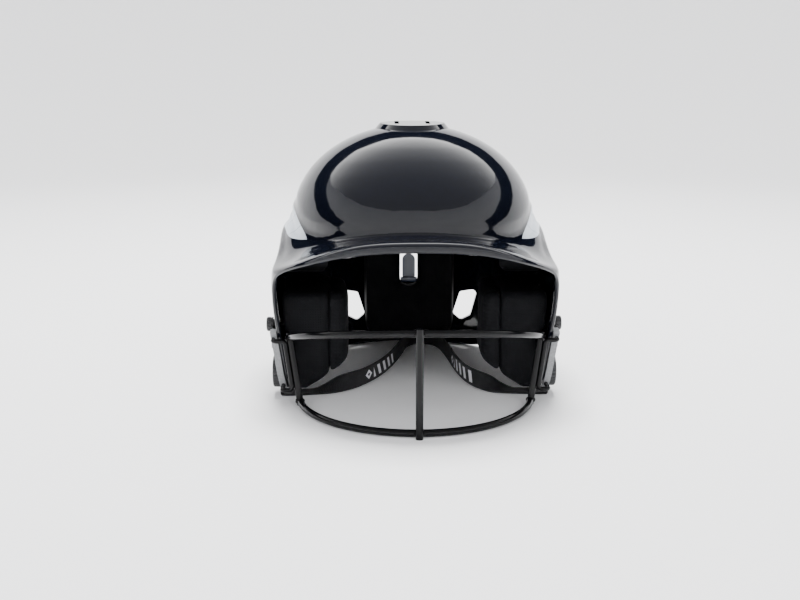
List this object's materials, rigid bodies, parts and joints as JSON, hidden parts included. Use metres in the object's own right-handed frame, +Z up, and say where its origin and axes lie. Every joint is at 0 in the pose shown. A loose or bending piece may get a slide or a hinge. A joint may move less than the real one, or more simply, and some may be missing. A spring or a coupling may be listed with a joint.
{
  "type": "batting helmet",
  "caption": "Batting helmet: gloss shell with a short brim and ear flaps, foam liner, wire face guard and chin strap on press studs.",
  "frame": {"origin": "centre of the footprint, on the surface the helmet stands on", "axes": "+Z up, the helmet faces -Y, the wearer's left is +X"},
  "size_m": [0.258, 0.3266, 0.231],
  "materials": {
    "shell": "moulded gloss black",
    "inlay": "silver gloss",
    "bracket": "moulded gloss black",
    "rubber": "matt rubber",
    "hardware": "black plated steel",
    "knob": "satin black",
    "stud": "plated",
    "cap": "fine textured black",
    "foam": "fabric-faced foam, dark navy",
    "liner": "brushed knit, dark navy",
    "hook_and_loop": "loop pile",
    "guard_wire": "gloss black powder coat",
    "strap": "woven webbing with pale woven marks"
  },
  "bodies": {
    "helmet": {"bracket_bolt_left": "hardware", "bracket_bolt_right": "hardware", "bracket_gasket_left": "rubber", "bracket_gasket_right": "rubber", "bracket_nut_left": "hardware", "bracket_nut_right": "hardware", "clip_spacer_left": "rubber", "clip_spacer_right": "rubber", "crown_disc": "hook_and_loop", "crown_pad": "foam", "forehead_pad": "foam", "guard_bottom_wire": "guard_wire", "guard_bracket_left": "bracket", "guard_bracket_right": "bracket", "guard_centre_rod": "guard_wire", "guard_clip_left": "hardware", "guard_clip_right": "hardware", "guard_side_loop_left": "guard_wire", "guard_side_loop_right": "guard_wire", "guard_side_rod_left": "guard_wire", "guard_side_rod_right": "guard_wire", "guard_top_wire": "guard_wire", "jaw_liner_left": "liner", "jaw_liner_right": "liner", "jaw_pad_left": "foam", "jaw_pad_right": "foam", "knob_nut_left": "hardware", "knob_nut_right": "hardware", "knob_screw_left": "knob", "knob_screw_right": "knob", "knob_washer_left": "hardware", "knob_washer_right": "hardware", "rear_discs": "hook_and_loop", "rear_pad": "foam", "rear_vent_tongue": "liner", "shell": "shell", "side_inlay_left": "inlay", "side_inlay_right": "inlay", "snap_stud_left": "stud", "snap_stud_right": "stud", "temple_discs": "hook_and_loop", "temple_pad_left": "foam", "temple_pad_right": "foam"},
    "chin_strap": {"chin_strap": "strap"},
    "snap_cap_left": {"snap_cap_left": "cap"},
    "snap_cap_right": {"snap_cap_right": "cap"}
  },
  "joints": [
    {"name": "strap_swing", "type": "hinge", "parent": "helmet", "child": "chin_strap", "pos_m": [0, -0.03587, 0.021], "axis": [1, 0, 0], "range_deg": [-20, 0]},
    {"name": "cap_pull_left", "type": "slide", "parent": "chin_strap", "child": "snap_cap_left", "axis": [1, 0, 0], "range_m": [0, 0.006]},
    {"name": "cap_pull_right", "type": "slide", "parent": "chin_strap", "child": "snap_cap_right", "axis": [-1, 0, 0], "range_m": [0, 0.006]}
  ]
}
